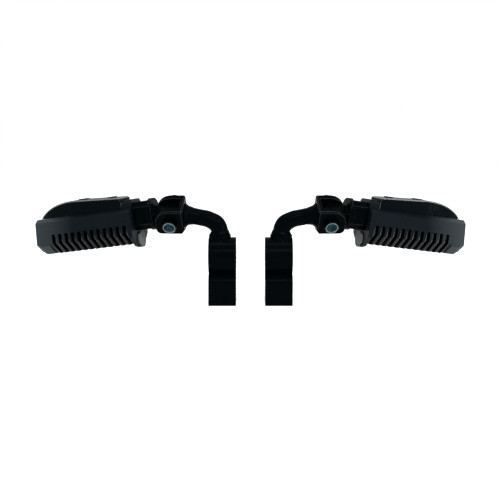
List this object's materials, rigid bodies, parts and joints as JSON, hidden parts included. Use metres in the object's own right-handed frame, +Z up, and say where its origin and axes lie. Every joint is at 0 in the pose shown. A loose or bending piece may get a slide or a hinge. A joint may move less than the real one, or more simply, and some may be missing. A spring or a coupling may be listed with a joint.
{
  "type": "pair of motorcycle footpegs",
  "caption": "Pair of folding motorcycle footpegs: ribbed rubber grips on bent steel arms with split clamps for a round guard tube.",
  "frame": {"origin": "on the axis of the guard tube, midway between the two clamps", "axes": "+X along the guard tube towards the right-hand peg, +Y away from the viewer of the picture, +Z up"},
  "size_m": [0.413, 0.0714, 0.1024],
  "materials": {
    "gloss_black": "gloss black powder coat",
    "blade_black": "gloss black coated strip",
    "grip_rubber": "moulded rubber, matt",
    "black_screw": "black oxide",
    "zinc": "blue zinc plate",
    "bare_steel": "turned"
  },
  "bodies": {
    "brackets": {"left_clamp_body": "gloss_black", "left_clamp_cap": "gloss_black", "left_clamp_screws": "black_screw", "left_arm": "gloss_black", "left_clevis": "gloss_black", "left_pivot_bolt": "zinc", "left_pivot_washer": "zinc", "left_pivot_nut": "zinc", "left_pivot_bush": "bare_steel", "right_clamp_body": "gloss_black", "right_clamp_cap": "gloss_black", "right_clamp_screws": "black_screw", "right_arm": "gloss_black", "right_clevis": "gloss_black", "right_pivot_bolt": "zinc", "right_pivot_washer": "zinc", "right_pivot_nut": "zinc", "right_pivot_bush": "bare_steel"},
    "left_peg": {"left_stem": "gloss_black", "left_rubber": "grip_rubber", "left_blade": "blade_black", "left_blade_screws": "black_screw", "left_end_washer": "zinc", "left_end_screw": "black_screw"},
    "right_peg": {"right_stem": "gloss_black", "right_rubber": "grip_rubber", "right_blade": "blade_black", "right_blade_screws": "black_screw", "right_end_washer": "zinc", "right_end_screw": "black_screw"}
  },
  "joints": [
    {"name": "left_fold", "type": "hinge", "parent": "brackets", "child": "left_peg", "pos_m": [-0.07475, 0.00481, 0.0385], "axis": [0.0835, 0.7943, 0.6018], "range_deg": [0, 100]},
    {"name": "right_fold", "type": "hinge", "parent": "brackets", "child": "right_peg", "pos_m": [0.07475, 0.00481, 0.0385], "axis": [0.0835, -0.7943, -0.6018], "range_deg": [0, 100]}
  ]
}
